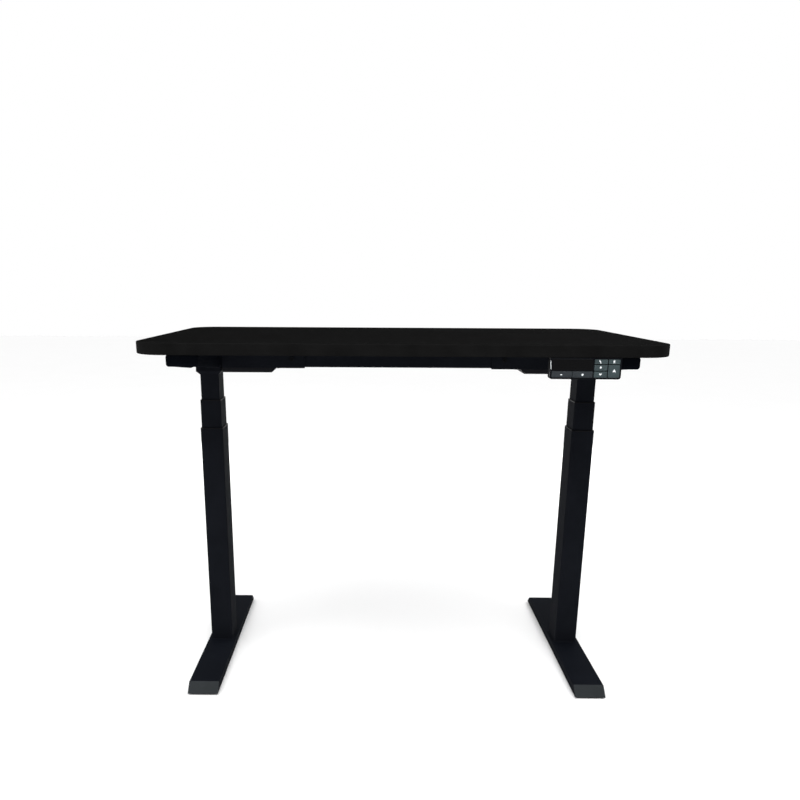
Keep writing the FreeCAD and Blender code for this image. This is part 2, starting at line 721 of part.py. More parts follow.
def tabletop_screws():
    """Pan-headed screws up through the frame's flanges into the board."""
    reach = 2.4
    half = 0.45
    low = flange_low - 3
    high = flange_low - 1.4
    screws = []
    for number, (x, y) in enumerate(screw_places(), start=1):
        name = f"tabletop_screw{number}"
        head = rod(name + "_head", 4.5, 1.6, (x, y, flange_low - 1.6))
        crown = rod(name + "_crown", 4.5, 0.9, (x, y, flange_low - 2.5), lower_radius=3)
        shank = rod(name + "_shank", 2, sheet + 13, (x, y, flange_low))
        slot = block(name + "_slot", (x - reach, y - half, low), (x + reach, y + half, high))
        cross = block(name + "_cross", (x - half, y - reach, low), (x + half, y + reach, high))
        screws.append(cut(name, join(name + "_solid", head, crown, shank), slot, cross))
    label(gather("tabletop_screws", *screws), "tabletop_screws")


def build_frame():
    for side, sign in SIDES.items():
        side_bracket(side, sign, sign * column_x)
        beam_end(side, sign)
    beam_centre()
    frame_bolts()
    tabletop()
    tabletop_screws()


# ---------------------------------------------------------------- the control box and cables
INLET_X = -70
PORT_Z = 760
PORT_Y = 80
SET_PORT_Y = 118
SET_LEAD_X = 366
SET_LEAD_Z = 771


def control_box():
    """A moulded box closed by a lid whose ears screw to the tabletop."""
    half = dim("box_half")
    front = dim("box_front")
    back = dim("box_back")
    low = dim("box_low")
    skin = dim("box_wall")
    lid_low = top_under - sheet

    def soft_edge(middle, along):
        return middle.z < 0.01 or abs(along.z) > 0.99

    body = prism("control_box_outside", "XY",
                 [(-half, front), (half, front), (half, back), (-half, back)], lid_low - low,
                 [("Fillet", 3, soft_edge)], (0, 0, low))
    inside = block("control_box_inside", (-half + skin, front + skin, low + skin),
                   (half - skin, back - skin, lid_low + 1))
    inlet_hole = block("control_box_inlet_hole", (INLET_X - 13.7, back - 6, low + 8),
                       (INLET_X + 13.7, back + 1, low + 28))
    ports = [rod(f"control_box_port{number}", dim("cable_round"), 8, (port_x, port_y, PORT_Z), "x")
             for number, (port_x, port_y) in enumerate(
                 ((-half - 4, PORT_Y), (half - 4, PORT_Y), (half - 4, SET_PORT_Y)), start=1)]
    label(cut("control_box", body, inside, inlet_hole, *ports), "control_box")

    reach = half + LID_EAR
    plate = prism("control_lid_plate", "XY",
                  [(-reach, front), (reach, front), (reach, back), (-reach, back)],
                  sheet, [("Fillet", 5, upright)], (0, 0, lid_low))
    holes = [rod(f"control_lid_{side}_hole{number}", SCREW_HOLE, 10,
                 (sign * (half + LID_EAR * 0.5), front + dy, lid_low - 5))
             for side, sign in SIDES.items() for number, dy in enumerate(LID_SCREW_Y, start=1)]
    label(cut("control_box_lid", plate, *holes), "control_box_lid")


def mains_inlet():
    """A three-pin appliance inlet in the back wall of the control box."""
    back = dim("box_back")
    low = dim("box_low")
    flange = block("mains_inlet_flange", (INLET_X - 15.5, back, low + 6),
                   (INLET_X + 15.5, back + 1.5, low + 30))
    body = block("mains_inlet_body", (INLET_X - 13.5, back - 16, low + 8.2),
                 (INLET_X + 13.5, back, low + 27.8))
    mouth = block("mains_inlet_mouth", (INLET_X - 12, back - 14, low + 10),
                  (INLET_X + 12, back + 2, low + 26))
    shell = cut("mains_inlet_shell", join("mains_inlet_solid", flange, body), mouth)
    pins = [block(f"mains_inlet_pin{number}", (INLET_X + dx - 1, back - 15, low + dz - 2),
                  (INLET_X + dx + 1, back - 2, low + dz + 2))
            for number, (dx, dz) in enumerate(((-7, 16), (0, 20), (7, 16)), start=1)]
    label(join("mains_inlet", shell, *pins), "mains_inlet")


def circuit_boards():
    """The bare boards of the control box and of the handset."""
    low = dim("box_low") + dim("box_wall")
    control = block("control_board", (-100, dim("box_front") + 6, low + 4),
                    (100, dim("box_back") - 22, low + 5.6))
    parts = []
    for number, (x, y, radius, high) in enumerate(((-60, 80, 9, 22), (-35, 80, 9, 22), (30, 95, 7, 16)),
                                                  start=1):
        parts.append(rod(f"control_part{number}", radius, high, (x, y, low + 5.6)))
    control = join("control_board_assembly", control, *parts)
    front = dim("set_front")
    panel = block("handset_board", (dim("set_left") + 4, front + 9, dim("set_low") + 5),
                  (dim("set_right") - 4, front + 10.6, top_under - 5))
    label(gather("circuit_boards", control, panel), "circuit_boards")


def cables():
    """The three leads that the frame and the tabletop hold all the way."""
    radius = dim("cable_round").value
    exit_x = dim("cover_end_x").value + 0.2
    exit_z = dim("cover_low").value + 9
    box_end = dim("box_half").value
    motor_route = [(exit_x, 10, exit_z), (268, 11, 728.6), (244, 24, 727.4), (222, 48, 727.6),
                   (200, 68, 737), (175, 79, 751), (146, PORT_Y + 1, 759), (box_end - 0.5, PORT_Y, PORT_Z)]
    for side, sign in SIDES.items():
        cable(side + "_motor_cable", [(sign * x, y, z) for x, y, z in motor_route], radius)
    set_end_y = dim("set_back").value - 0.5
    handset_route = [(SET_LEAD_X, set_end_y, SET_LEAD_Z), (SET_LEAD_X, -250, 773), (361, -210, 778.4),
                     (347, -160, 779.8), (334, -105, 779.4), (322, -50, 779.2), (308, 0, 779.2),
                     (286, 52, 778.8), (252, 92, 774), (208, 113, 765), (162, SET_PORT_Y + 1, 760.5),
                     (box_end - 0.5, SET_PORT_Y, PORT_Z)]
    cable("handset_cable", handset_route, 2)


# ---------------------------------------------------------------- the handset
WINDOW = (299, 381, 757.5, 779.5)
KEYS = {
    "memory_key_one": (299, 339.6, 743.6, 755.6), "memory_key_two": (340.4, 381, 743.6, 755.6),
    "memory_key_three": (383.6, 409.6, 770.4, 779.5), "memory_key_four": (411.4, 434.4, 770.4, 779.5),
    "set_key": (383.6, 409.6, 757.4, 768.6), "down_key": (383.6, 409.6, 743.6, 755.6),
    "up_key": (411.4, 434.4, 743.6, 768.6),
}


def handset():
    """The moulded handset under the front edge, its front panel, display window and keys."""
    left = dim("set_left")
    right = dim("set_right")
    low = dim("set_low")
    front = dim("set_front")
    back = dim("set_back")
    skin = dim("set_wall")
    panel_back = front + 2

    def low_corner(middle, along):
        return middle.z < low.value + 0.01 and abs(along.y) > 0.99

    def outline(inset):
        high = top_under if inset.value == 0 else top_under - sheet
        return [(left + inset, low + inset), (right - inset, low + inset),
                (right - inset, high), (left + inset, high)]

    def inner_corner(middle, along):
        return middle.z < low.value + skin.value + 0.01 and abs(along.y) > 0.99

    outside = prism("handset_outside", "XZ", outline(size(0)), back - panel_back,
                    [("Fillet", dim("set_round"), low_corner)], (0, back, 0))
    inside = prism("handset_inside", "XZ", outline(skin), back - panel_back - skin,
                   [("Fillet", dim("set_round") - skin, inner_corner)], (0, back - skin, 0))
    middle = (left + right) * 0.5
    ear_middle = back + SET_EAR * 0.5
    holes = [rod(f"handset_hole{number}", SCREW_HOLE, 10, (middle + dx, ear_middle, flange_low - 5))
             for number, dx in enumerate(SET_HOLE_X, start=1)]
    ear = block("handset_ear", (left + 10, back, flange_low), (right - 24, back + SET_EAR, top_under))
    gland = rod("handset_gland", 2, 10, (SET_LEAD_X, back - 5, SET_LEAD_Z), "y")
    label(cut("handset_shell", join("handset_solid", cut("handset_case", outside, inside), ear),
              gland, *holes), "handset_shell")

    plate = prism("handset_plate", "XZ", outline(size(0)), 2,
                  [("Fillet", dim("set_round"), low_corner)], (0, panel_back, 0))
    gap = dim("key_gap")
    openings = []
    for name, (x1, x2, z1, z2) in {"window": WINDOW, **KEYS}.items():
        room = gap if name != "window" else size(0)
        openings.append(block(f"handset_{name}_opening", (x1 - room, front - 1, z1 - room),
                              (x2 + room, panel_back + 1, z2 + room)))
    label(cut("handset_panel", plate, *openings), "handset_panel")

    x1, x2, z1, z2 = WINDOW
    label(block("display_window", (x1, front + 0.3, z1), (x2, panel_back, z2)), "display_window")
    for name, (x1, x2, z1, z2) in KEYS.items():
        def corner(middle, along):
            return abs(along.y) > 0.99

        def rim(middle, along):
            return middle.y < 0.01 - key_long.value

        outline_key = [(x1, z1), (x2, z1), (x2, z2), (x1, z2)]
        key_long = 6 + dim("key_proud")
        key = prism(name + "_body", "XZ", outline_key, key_long,
                    [("Fillet", 1, corner), ("Fillet", 0.4, rim)], (0, front + 6, 0))
        label(key, name)


# ---------------------------------------------------------------- build, check and write
def check():
    """Stop if any object failed or any sub-part is not a valid solid."""
    doc.recompute()
    for thing in doc.Objects:
        if "Invalid" in thing.State or "Error" in thing.State:
            raise RuntimeError(f"{thing.Name} failed: {thing.State}")
    for part in subparts:
        if part.Shape.isNull() or not part.Shape.isValid() or not part.Shape.Solids:
            raise RuntimeError(f"{part.Label} has no valid shape")


def write():
    os.makedirs("parts", exist_ok=True)
    for part in subparts:
        part.Shape.exportStep(f"parts/{part.Label}.step")
        box = part.Shape.BoundBox
        print(f"{part.Label}: {len(part.Shape.Solids)} solids, {part.Shape.Volume / 1000:.1f} cm3, "
              f"X {box.XMin:.1f}..{box.XMax:.1f} Y {box.YMin:.1f}..{box.YMax:.1f} "
              f"Z {box.ZMin:.1f}..{box.ZMax:.1f}")


build_base()
build_middle_stages()
build_drives()
build_frame()
control_box()
mains_inlet()
circuit_boards()
cables()
handset()
check()
write()
print(f"{len(subparts)} sub-parts")
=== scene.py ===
import json
import math

import bmesh
import bpy
from mathutils import Matrix, Vector


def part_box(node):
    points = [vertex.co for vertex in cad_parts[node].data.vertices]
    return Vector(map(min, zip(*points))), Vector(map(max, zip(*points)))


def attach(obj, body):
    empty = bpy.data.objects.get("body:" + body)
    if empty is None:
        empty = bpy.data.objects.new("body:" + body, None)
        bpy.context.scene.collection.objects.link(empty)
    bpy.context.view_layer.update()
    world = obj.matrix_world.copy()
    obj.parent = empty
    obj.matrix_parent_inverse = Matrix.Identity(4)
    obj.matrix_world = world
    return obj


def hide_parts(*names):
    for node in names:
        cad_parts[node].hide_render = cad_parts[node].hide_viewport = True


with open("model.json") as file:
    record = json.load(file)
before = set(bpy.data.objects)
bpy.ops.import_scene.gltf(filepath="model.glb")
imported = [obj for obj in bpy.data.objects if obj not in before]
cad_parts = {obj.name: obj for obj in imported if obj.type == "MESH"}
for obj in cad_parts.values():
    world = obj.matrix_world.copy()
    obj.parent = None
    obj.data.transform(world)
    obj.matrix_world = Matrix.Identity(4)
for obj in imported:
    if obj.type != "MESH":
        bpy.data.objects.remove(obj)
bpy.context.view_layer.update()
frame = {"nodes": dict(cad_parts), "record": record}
nodes = frame["nodes"]
record = frame["record"]
BODY_OF = {node: body for body, names in record["behaviour"]["bodies"].items() for node in names}
SIDES = ("left", "right")
MM = 0.001


# ---------------------------------------------------------------- materials
def new_material(name):
    """A node material, its tree and its main shader."""
    material = bpy.data.materials.new(name)
    material.use_nodes = True
    tree = material.node_tree
    shader = tree.nodes["Principled BSDF"]
    return material, tree, shader


def noise(tree, scale, **settings):
    """Noise in the object's own coordinates, with its scale in features per metre."""
    place = tree.nodes.new("ShaderNodeTexCoord")
    node = tree.nodes.new("ShaderNodeTexNoise")
    node.inputs["Scale"].default_value = scale
    for socket, value in settings.items():
        node.inputs[socket].default_value = value
    tree.links.new(place.outputs["Object"], node.inputs["Vector"])
    return node.outputs["Fac"]


def ramp(tree, source, low, high, start=0.0, end=1.0):
    """Turn a texture's grey value into a range of colours."""
    node = tree.nodes.new("ShaderNodeValToRGB")
    node.color_ramp.elements[0].position = start
    node.color_ramp.elements[1].position = end
    node.color_ramp.elements[0].color = (*low, 1)
    node.color_ramp.elements[1].color = (*high, 1)
    tree.links.new(source, node.inputs["Fac"])
    return node.outputs["Color"]


def spread(tree, source, low, high):
    """Turn a texture's grey value into a range of numbers."""
    node = tree.nodes.new("ShaderNodeMapRange")
    node.inputs["To Min"].default_value = low
    node.inputs["To Max"].default_value = high
    tree.links.new(source, node.inputs["Value"])
    return node.outputs["Result"]


def relief(tree, height, strength, distance):
    """Bump from a texture's grey value, with its distance in metres."""
    bump = tree.nodes.new("ShaderNodeBump")
    bump.inputs["Strength"].default_value = strength
    bump.inputs["Distance"].default_value = distance
    tree.links.new(height, bump.inputs["Height"])
    return bump.outputs["Normal"]


def finish_material(name, dark, light, rough, grain, bump, metallic=0.0, gloss=0.5):
    """Colour, roughness and fine relief that vary over the surface.

    dark and light are the two ends of the colour, and rough holds those of the roughness.
    grain gives the scales of the broad tone and of the fine texture, in features per metre.
    bump is the strength and the depth in metres of that fine texture.
    """
    material, tree, shader = new_material(name)
    broad = noise(tree, grain[0], Detail=3.0, Roughness=0.55)
    fine = noise(tree, grain[1], Detail=2.0, Roughness=0.6)
    tree.links.new(ramp(tree, broad, dark, light, 0.3, 0.7), shader.inputs["Base Color"])
    tree.links.new(spread(tree, broad, *rough), shader.inputs["Roughness"])
    tree.links.new(relief(tree, fine, *bump), shader.inputs["Normal"])
    shader.inputs["Metallic"].default_value = metallic
    shader.inputs["Specular IOR Level"].default_value = gloss
    return material


def make_materials():
    """Every finish of the desk; most are near black and nearly without shine."""
    return {
        "laminate": finish_material("black_laminate", (0.0030, 0.0030, 0.0030), (0.0043, 0.0043, 0.0043),
                                    (0.82, 0.95), (9, 900), (0.35, 0.0002), gloss=0.004),
        "paint": finish_material("powder_coat", (0.0056, 0.0064, 0.0086), (0.0076, 0.0086, 0.0114),
                                 (0.72, 0.86), (14, 1400), (0.45, 0.00025), gloss=0.015),
        # the brackets' powder coat is the frame's paint made darker: painted shade on the brackets' front
        # faces
        "bracket_painted_shade": finish_material("powder_coat_painted_shade", (0.0026, 0.0032, 0.0048),
                                         (0.0036, 0.0044, 0.0064), (0.8, 0.92), (14, 1400),
                                         (0.45, 0.00025), gloss=0.004),
        "foot_paint": finish_material("powder_coat_foot", (0.0038, 0.0047, 0.0070),
                                      (0.0056, 0.0068, 0.0098), (0.75, 0.9), (11, 1400),
                                      (0.45, 0.00025), gloss=0.02),
        # the noses' paler powder coat is painted highlight, for the light caught by the feet's sloping ends
        "nose": finish_material("powder_coat_painted_highlight", (0.0135, 0.0165, 0.0185), (0.021, 0.0245, 0.027),
                                (0.4, 0.55), (26, 1400), (0.35, 0.0002), gloss=0.08),
        "glide": finish_material("black_nylon", (0.005, 0.005, 0.006), (0.008, 0.008, 0.009),
                                 (0.5, 0.6), (30, 1200), (0.25, 0.0001), gloss=0.06),
        "rubber": finish_material("pad_rubber", (0.005, 0.005, 0.005), (0.008, 0.008, 0.008),
                                  (0.75, 0.9), (40, 1500), (0.3, 0.0001), gloss=0.05),
        "bolt": finish_material("black_zinc", (0.0035, 0.0038, 0.0045), (0.0065, 0.007, 0.008),
                                (0.5, 0.65), (60, 2000), (0.2, 0.00005), gloss=0.03),
        "steel": finish_material("ground_steel", (0.42, 0.43, 0.45), (0.55, 0.56, 0.58),
                                 (0.25, 0.4), (50, 1800), (0.2, 0.00005), metallic=1.0),
        "cast": finish_material("cast_head", (0.0042, 0.0048, 0.0068), (0.0064, 0.0072, 0.0098),
                                (0.65, 0.8), (20, 700), (0.5, 0.0004), gloss=0.025),
        "motor": finish_material("motor_can", (0.02, 0.02, 0.022), (0.03, 0.03, 0.033),
                                 (0.3, 0.4), (20, 1500), (0.2, 0.0001), gloss=0.4),
        "cover": finish_material("moulded_cover", (0.0055, 0.006, 0.0075), (0.008, 0.0085, 0.0105),
                                 (0.6, 0.72), (25, 1600), (0.4, 0.0002), gloss=0.08),
        "shell": finish_material("handset_shell", (0.0028, 0.003, 0.0038), (0.0042, 0.0045, 0.0055),
                                 (0.65, 0.8), (25, 1600), (0.4, 0.0002), gloss=0.02),
        "bronze": finish_material("wheel_bronze", (0.45, 0.28, 0.12), (0.6, 0.4, 0.18),
                                  (0.3, 0.45), (60, 1500), (0.2, 0.0001), metallic=1.0),
        "board": finish_material("circuit_board", (0.01, 0.06, 0.03), (0.015, 0.08, 0.04),
                                 (0.35, 0.5), (80, 1800), (0.2, 0.0001)),
        "sheath": finish_material("cable_sheath", (0.006, 0.006, 0.0065), (0.009, 0.009, 0.010),
                                  (0.5, 0.6), (60, 1800), (0.2, 0.0001), gloss=0.12),
        "panel": finish_material("panel_gloss", (0.004, 0.0045, 0.006), (0.006, 0.0065, 0.008),
                                 (0.3, 0.4), (20, 900), (0.05, 0.0001), gloss=0.03),
        "display": finish_material("display_gloss", (0.0022, 0.0022, 0.0025), (0.0030, 0.0030, 0.0034),
                                   (0.06, 0.10), (15, 500), (0.02, 0.0001), gloss=0.06),
        "key": finish_material("key_plastic", (0.031, 0.045, 0.048), (0.042, 0.060, 0.064),
                               (0.4, 0.52), (60, 1800), (0.25, 0.0001), gloss=0.2),
        "key_dark": finish_material("key_strip_plastic", (0.016, 0.020, 0.024), (0.021, 0.026, 0.031),
                                    (0.3, 0.42), (60, 1800), (0.2, 0.0001), gloss=0.3),
        # a near-white strip that paints the bright highlight on the display's left edge
        "strip": finish_material("painted_highlight_strip", (0.80, 0.84, 0.85), (0.88, 0.92, 0.93),
                                 (0.15, 0.25), (60, 900), (0.05, 0.00005)),
        "band": finish_material("edge_band", (0.0046, 0.0046, 0.0046), (0.0066, 0.0066, 0.0066),
                                (0.6, 0.7), (20, 1100), (0.25, 0.0001), gloss=0.012),
        "label": finish_material("label_film", (0.10, 0.105, 0.11), (0.13, 0.135, 0.14),
                                 (0.3, 0.4), (60, 900), (0.1, 0.00005), gloss=0.3),
        "lamp": finish_material("lamp_lens", (0.02, 0.09, 0.03), (0.03, 0.12, 0.04),
                                (0.1, 0.2), (80, 900), (0.05, 0.00005)),
        "print": finish_material("key_print", (0.72, 0.76, 0.78), (0.8, 0.84, 0.86),
                                 (0.5, 0.6), (80, 2000), (0.1, 0.00005)),
    }


NODE_MATERIALS = {
    "paint": ["foot", "outer_tube", "middle_tube", "inner_tube", "bracket", "beam_channel"],
    "rubber": ["front_pad", "rear_pad"],
    "steel": ["middle_carrier", "hollow_screw", "upper_screw", "worm_shaft"],
    "glide": ["middle_glide"],
    "cast": ["gearbox"],
    "bronze": ["worm_wheel"],
    "motor": ["motor_case"],
    "cover": ["motor_cover"],
    "sheath": ["motor_cable"],
}
SINGLE_MATERIALS = {
    "paint": ["beam_centre"],
    "steel": ["column_base_plates", "screw_posts", "gearbox_bearings"],
    "bolt": ["foot_bolts", "frame_bolts", "tabletop_screws"],
    "glide": ["outer_glides"],
    "cover": ["control_box", "control_box_lid", "mains_inlet", "handset_shell"],
    "board": ["circuit_boards"],
    "sheath": ["handset_cable"],
    "panel": ["handset_panel"],
    "display": ["display_window"],
    "key": ["memory_key_one", "memory_key_two", "memory_key_three", "memory_key_four",
            "set_key", "down_key", "up_key"],
    "laminate": ["tabletop"],
}


def paint_nodes(materials):
    """Give every CAD node its finish."""
    plan = {f"{side}_{name}": kind for kind, names in NODE_MATERIALS.items()
            for name in names for side in SIDES}
    plan.update({name: kind for kind, names in SINGLE_MATERIALS.items() for name in names})
    for name, kind in plan.items():
        node = nodes[name]
        node.data.materials.clear()
        node.data.materials.append(materials[kind])


# ---------------------------------------------------------------- camera, light and floor
CAMERA_PLACE = (-0.06225, -1.7775, 0.91821)
CAMERA_ANGLES = (-0.49, -15.31, 0.29)  # yaw, pitch and roll in degrees


def make_camera():
    """A viewpoint nearly square on, a little above the tabletop, tilted down."""
    data = bpy.data.cameras.new("camera")
    data.sensor_width = 36
    data.lens = 32.92
    data.shift_x = 0.0441
    data.shift_y = 0.1082
    data.clip_end = 100
    camera = bpy.data.objects.new("camera", data)
    bpy.context.scene.collection.objects.link(camera)
    yaw, pitch, roll = (math.radians(angle) for angle in CAMERA_ANGLES)
    level = math.cos(pitch)
    forward = Vector((math.sin(yaw) * level, math.cos(yaw) * level, math.sin(pitch)))
    right = Vector((math.cos(yaw), -math.sin(yaw), 0))
    up = right.cross(forward)
    tilted_right = right * math.cos(roll) + up * math.sin(roll)
    tilted_up = up * math.cos(roll) - right * math.sin(roll)
    turn = Matrix((tilted_right, tilted_up, -forward)).transposed()
    camera.matrix_world = Matrix.Translation(CAMERA_PLACE) @ turn.to_4x4()
    bpy.context.scene.camera = camera


def area_light(name, place, aim, reach, power):
    """A rectangular light at a place, turned to a point, with its power in watts."""
    data = bpy.data.lights.new(name, "AREA")
    data.shape = "RECTANGLE"
    data.size, data.size_y = reach
    data.energy = power
    light = bpy.data.objects.new(name, data)
    light.location = place
    light.rotation_euler = (Vector(aim) - Vector(place)).to_track_quat("-Z", "Y").to_euler()
    bpy.context.scene.collection.objects.link(light)


SKY_STRENGTH = (0.02, 2.6)  # at the horizon and overhead


def make_world():
    """A white studio: even white behind the desk, and soft light that falls off to the horizon."""
    world = bpy.data.worlds.new("studio")
    world.use_nodes = True
    tree = world.node_tree
    tree.nodes.clear()
    place = tree.nodes.new("ShaderNodeTexCoord")
    split = tree.nodes.new("ShaderNodeSeparateXYZ")
    tree.links.new(place.outputs["Generated"], split.inputs["Vector"])
    steep = tree.nodes.new("ShaderNodeMath")
    steep.operation = "POWER"
    steep.use_clamp = True
    steep.inputs[1].default_value = 3
    tree.links.new(split.outputs["Z"], steep.inputs[0])
    height = spread(tree, steep.outputs["Value"], *SKY_STRENGTH)
    path = tree.nodes.new("ShaderNodeLightPath")
    seen = tree.nodes.new("ShaderNodeBackground")
    soft = tree.nodes.new("ShaderNodeBackground")
    mix = tree.nodes.new("ShaderNodeMixShader")
    out = tree.nodes.new("ShaderNodeOutputWorld")
    tree.links.new(height, soft.inputs["Strength"])
    tree.links.new(path.outputs["Is Camera Ray"], mix.inputs["Fac"])
    tree.links.new(soft.outputs["Background"], mix.inputs[1])
    tree.links.new(seen.outputs["Background"], mix.inputs[2])
    tree.links.new(mix.outputs["Shader"], out.inputs["Surface"])
    for light in (seen, soft):
        light.inputs["Color"].default_value = (1, 1, 1, 1)
    bpy.context.scene.world = world


def make_floor():
    """A plain pale floor, far wider than the view."""
    mesh = bpy.data.meshes.new("floor")
    reach = 12  # metres
    mesh.from_pydata([(-reach, -reach, 0), (reach, -reach, 0), (reach, reach, 0), (-reach, reach, 0)],
                     [], [(0, 1, 2, 3)])
    floor = bpy.data.objects.new("floor", mesh)
    bpy.context.scene.collection.objects.link(floor)
    material, tree, shader = new_material("pale_floor")
    tone = noise(tree, 3, Detail=2.0)
    tree.links.new(ramp(tree, tone, (0.93, 0.93, 0.93), (0.95, 0.95, 0.95)), shader.inputs["Base Color"])
    shader.inputs["Roughness"].default_value = 0.9
    shader.inputs["Specular IOR Level"].default_value = 0.1
    mesh.materials.append(material)


LIGHTS = (
    # name, place, aim, width and height in metres, and power in watts
    ("softbox", (0, -1.45, 2.35), (0, -0.25, 0.1), (2.8, 1.1), 45),
    ("fill", (-2.4, -1.6, 1.5), (0, 0, 0.5), (1.2, 1.6), 12),
    ("rim", (1.6, 2.2, 2.2), (0, 0, 0.5), (1.4, 1.0), 12),
    ("back", (0, 2.6, 0.55), (0, 0, 0.45), (3.2, 0.7), 26),
    ("left_side", (-2.6, 0.5, 0.5), (0, 0, 0.45), (1.4, 0.6), 3),
    ("right_side", (2.6, 0.5, 0.5), (0, 0, 0.45), (1.4, 0.6), 3),
)


def make_stage():
    make_camera()
    make_world()
    make_floor()
    for light in LIGHTS:
        area_light(*light)
    bpy.context.scene.view_settings.view_transform = "Standard"


# ---------------------------------------------------------------- pieces
FLAT_AREA = 2e-4  # square metres: a face this large is a flat panel, never part of a curve


def add_piece(name, mesh, material, body, replaced=()):
    """Put a mesh in the scene, riding on a body and standing for the nodes that it replaces."""
    piece = bpy.data.objects.new(name, mesh)
    bpy.context.scene.collection.objects.link(piece)
    mesh.materials.clear()
    mesh.materials.append(material)
    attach(piece, body)
    if replaced:
        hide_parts(*replaced)
    return piece


def mesh_from(name, bm, smooth_angle=35):
    """Finish a bmesh: outward normals, smooth curved faces and sharp edges above an angle."""
    bmesh.ops.recalc_face_normals(bm, faces=bm.faces)
    mesh = bpy.data.meshes.new(name)
    for face in bm.faces:
        face.smooth = len(face.verts) <= 4 and face.calc_area() < FLAT_AREA
    for edge in bm.edges:
        edge.smooth = len(edge.link_faces) == 2 and edge.calc_face_angle(0) < math.radians(smooth_angle)
    bm.to_mesh(mesh)
    bm.free()
    return mesh


SHARP_EDGE = 40  # degrees
SOFT_STEPS = 3


def softened(node, width):
    """A copy of a CAD node's mesh with its flat faces joined up and its sharp edges rounded."""
    bm = bmesh.new()
    bm.from_mesh(nodes[node].data)
    bmesh.ops.remove_doubles(bm, verts=bm.verts, dist=1e-6)
    bmesh.ops.dissolve_limit(bm, angle_limit=math.radians(1), verts=bm.verts, edges=bm.edges)
    sharp = [edge for edge in bm.edges
             if len(edge.link_faces) == 2 and edge.calc_face_angle(0) > math.radians(SHARP_EDGE)]
    bmesh.ops.bevel(bm, geom=sharp, offset=width, offset_type="OFFSET", segments=SOFT_STEPS, profile=0.5,
                    affect="EDGES", clamp_overlap=True)
    return mesh_from(node + "_soft", bm)


def join_loops(bm, loops):
    """Faces between each closed loop of corners and the next."""
    for lower, upper in zip(loops, loops[1:]):
        for index in range(len(lower)):
            after = (index + 1) % len(lower)
            bm.faces.new((lower[index], lower[after], upper[after], upper[index]))


def cap_loops(bm, loops):
    """Close the first and the last loop."""
    bm.faces.new(loops[0][::-1])
    bm.faces.new(loops[-1])


def upright(u, v, w):
    """Place an outline that is drawn in plan."""
    return (u, v, w)


def facing_user(u, v, w):
    """Place an outline that is drawn as the user sees it."""
    return (u, w, v)


def prism_mesh(bm, outline, low, high, place=upright):
    """Add a prism over a closed outline, from low to high along its own third axis."""
    loops = [[bm.verts.new(place(u, v, level)) for u, v in outline] for level in (low, high)]
    join_loops(bm, loops)
    cap_loops(bm, loops)


def arc(centre, radius, start, end, steps):
    """Points along an arc, with angles in degrees."""
    points = []
    for step in range(steps + 1):
        turn = math.radians(start + (end - start) * step / steps)
        points.append((centre[0] + radius * math.cos(turn), centre[1] + radius * math.sin(turn)))
    return points


def rounded_rectangle(x1, x2, z1, z2, radii, steps=6):
    """Corners' radii in the order lower left, lower right, upper right, upper left."""
    low_left, low_right, high_right, high_left = radii
    return (arc((x1 + low_left, z1 + low_left), low_left, 180, 270, steps)
            + arc((x2 - low_right, z1 + low_right), low_right, 270, 360, steps)
            + arc((x2 - high_right, z2 - high_right), high_right, 0, 90, steps)
            + arc((x1 + high_left, z2 - high_left), high_left, 90, 180, steps))


# ---------------------------------------------------------------- the handset's keys
KEY_TOP = 0.25 * MM
KEY_CORNER = 1.1 * MM
KEY_CORNER_LEAST = 0.5 * MM
PRINT_DEEP = 0.12 * MM
WINDOW_CORNER = 1.6 * MM


def dished_key(name, materials, material):
    """A key cap with a soft rim and a shallow dish, over the CAD key's front."""
    low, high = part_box(name)
    bm = bmesh.new()
    front = low.y - KEY_TOP
    inset_levels = [(0.0, low.y + 0.9 * MM), (0.0, front + 0.45 * MM), (0.16 * MM, front + 0.12 * MM),
                    (0.45 * MM, front), (1.2 * MM, front + 0.03 * MM), (2.4 * MM, front + 0.12 * MM)]
    rings = []
    for inset, y in inset_levels:
        radius = max(KEY_CORNER - inset * 0.4, KEY_CORNER_LEAST)
        outline = rounded_rectangle(low.x + inset, high.x - inset, low.z + inset, high.z - inset,
                                    (radius,) * 4, 5)
        rings.append([bm.verts.new((u, y, v)) for u, v in outline])
    join_loops(bm, rings)
    cap_loops(bm, rings)
    add_piece(name + "_front", mesh_from(name + "_front", bm, 60), materials[material], BODY_OF[name])


def bar(start, end, width):
    """The outline of a straight line of even width."""
    start, end = Vector(start), Vector(end)
    along = (end - start).normalized()
    side = Vector((-along.y, along.x)) * width / 2
    return [tuple(point) for point in (start + side, end + side, end - side, start - side)]


def disc(centre, radius):
    """A round outline in 24 steps."""
    return arc(centre, radius, 0, 345, 23)


def key_print(name, shapes, materials):
    """White symbols on a key: each shape is a closed outline in millimetres about the key's middle."""
    low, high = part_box(name)
    middle = (low + high) / 2
    face = low.y - KEY_TOP + PRINT_DEEP
    bm = bmesh.new()
    for shape in shapes:
        outline = [(middle.x + u * MM, middle.z + v * MM) for u, v in shape]
        prism_mesh(bm, outline, face, face - PRINT_DEEP, facing_user)
    add_piece(name + "_symbol", mesh_from(name + "_symbol", bm), materials["print"], BODY_OF[name])


DARK_KEYS = ("memory_key_one", "memory_key_two")


